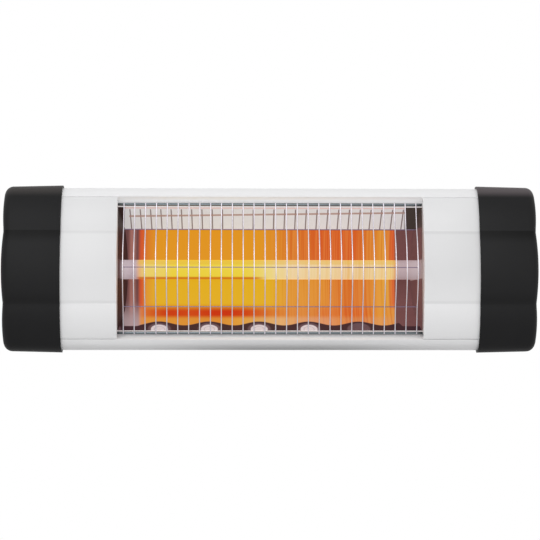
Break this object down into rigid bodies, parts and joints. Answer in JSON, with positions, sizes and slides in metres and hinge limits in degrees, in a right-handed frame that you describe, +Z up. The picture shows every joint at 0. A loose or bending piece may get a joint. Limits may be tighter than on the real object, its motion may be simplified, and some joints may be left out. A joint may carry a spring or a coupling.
{
  "type": "infrared bar heater",
  "caption": "Wall-hung infrared bar heater: a lit quartz lamp in a dished reflector trough behind a bellied wire guard, between black end caps, on a tilting bracket.",
  "frame": {"origin": "centre of the wall bracket's rear face, on the wall's surface", "axes": "+X runs along the heater to the right as seen from the front, +Y points into the wall, the lamp faces -Y, +Z is up"},
  "size_m": [0.6, 0.1502, 0.1886],
  "materials": {
    "end_cap_plastic": "black moulded plastic, fine satin grain",
    "white_enamel": "white enamelled sheet steel, soft gloss",
    "polished_reflector": "polished sheet",
    "bright_wire": "bright plated wire",
    "zinc_steel": "zinc-plated, dull",
    "heat_stained_steel": "darkened by heat",
    "quartz_glass": "clear quartz, glowing amber from within",
    "hot_filament": "lit heating wire",
    "steatite": "unglazed",
    "brass_plain": "plain turned",
    "nylon_grey": "moulded",
    "rubber_black": "moulded",
    "sleeve_brown": "silicone sleeve",
    "sleeve_blue": "silicone sleeve",
    "sleeve_green_yellow": "silicone sleeve"
  },
  "bodies": {
    "bracket": {"wall_bracket": "white_enamel", "left_friction_washer": "nylon_grey", "right_friction_washer": "nylon_grey"},
    "heater": {"bottom_rail": "white_enamel", "earth_lead": "sleeve_green_yellow", "earth_ring_tag": "brass_plain", "earth_screw": "brass_plain", "gland_body": "end_cap_plastic", "gland_dome_nut": "end_cap_plastic", "gland_locknut": "end_cap_plastic", "heating_coil": "hot_filament", "left_bulkhead": "zinc_steel", "left_cap_screw_1": "zinc_steel", "left_cap_screw_2": "zinc_steel", "left_clip_screw_1": "zinc_steel", "left_clip_screw_2": "zinc_steel", "left_end_cap": "end_cap_plastic", "left_front_plate": "white_enamel", "left_grommet": "rubber_black", "left_lamp_clip": "zinc_steel", "left_lamp_ferrule": "steatite", "left_lamp_terminal": "brass_plain", "left_pivot_bolt": "zinc_steel", "left_reflector_cheek": "heat_stained_steel", "left_saddle_screw_1": "zinc_steel", "left_saddle_screw_2": "zinc_steel", "line_lead": "sleeve_brown", "mounting_saddle": "white_enamel", "panel_screw_bottom_1": "zinc_steel", "panel_screw_bottom_2": "zinc_steel", "panel_screw_bottom_3": "zinc_steel", "panel_screw_top_1": "zinc_steel", "panel_screw_top_2": "zinc_steel", "panel_screw_top_3": "zinc_steel", "quartz_tube": "quartz_glass", "rear_panel": "white_enamel", "reflector": "polished_reflector", "return_lead": "sleeve_blue", "right_bulkhead": "zinc_steel", "right_cap_screw_1": "zinc_steel", "right_cap_screw_2": "zinc_steel", "right_clip_screw_1": "zinc_steel", "right_clip_screw_2": "zinc_steel", "right_end_cap": "end_cap_plastic", "right_front_plate": "white_enamel", "right_grommet": "rubber_black", "right_lamp_clip": "zinc_steel", "right_lamp_ferrule": "steatite", "right_lamp_terminal": "brass_plain", "right_pivot_bolt": "zinc_steel", "right_reflector_cheek": "heat_stained_steel", "right_saddle_screw_1": "zinc_steel", "right_saddle_screw_2": "zinc_steel", "terminal_block": "steatite", "terminal_block_screw_1": "zinc_steel", "terminal_block_screw_2": "zinc_steel", "top_rail": "white_enamel", "wire_guard": "bright_wire"},
    "left_knob": {"left_tilt_knob": "end_cap_plastic"},
    "right_knob": {"right_tilt_knob": "end_cap_plastic"}
  },
  "joints": [
    {"name": "tilt", "type": "hinge", "parent": "bracket", "child": "heater", "pos_m": [0, -0.032, 0], "axis": [1, 0, 0], "range_deg": [-15, 45]},
    {"name": "left_knob_turn", "type": "hinge", "parent": "heater", "child": "left_knob", "pos_m": [0, -0.032, 0], "axis": [1, 0, 0], "continuous": true},
    {"name": "right_knob_turn", "type": "hinge", "parent": "heater", "child": "right_knob", "pos_m": [0, -0.032, 0], "axis": [1, 0, 0], "continuous": true}
  ]
}
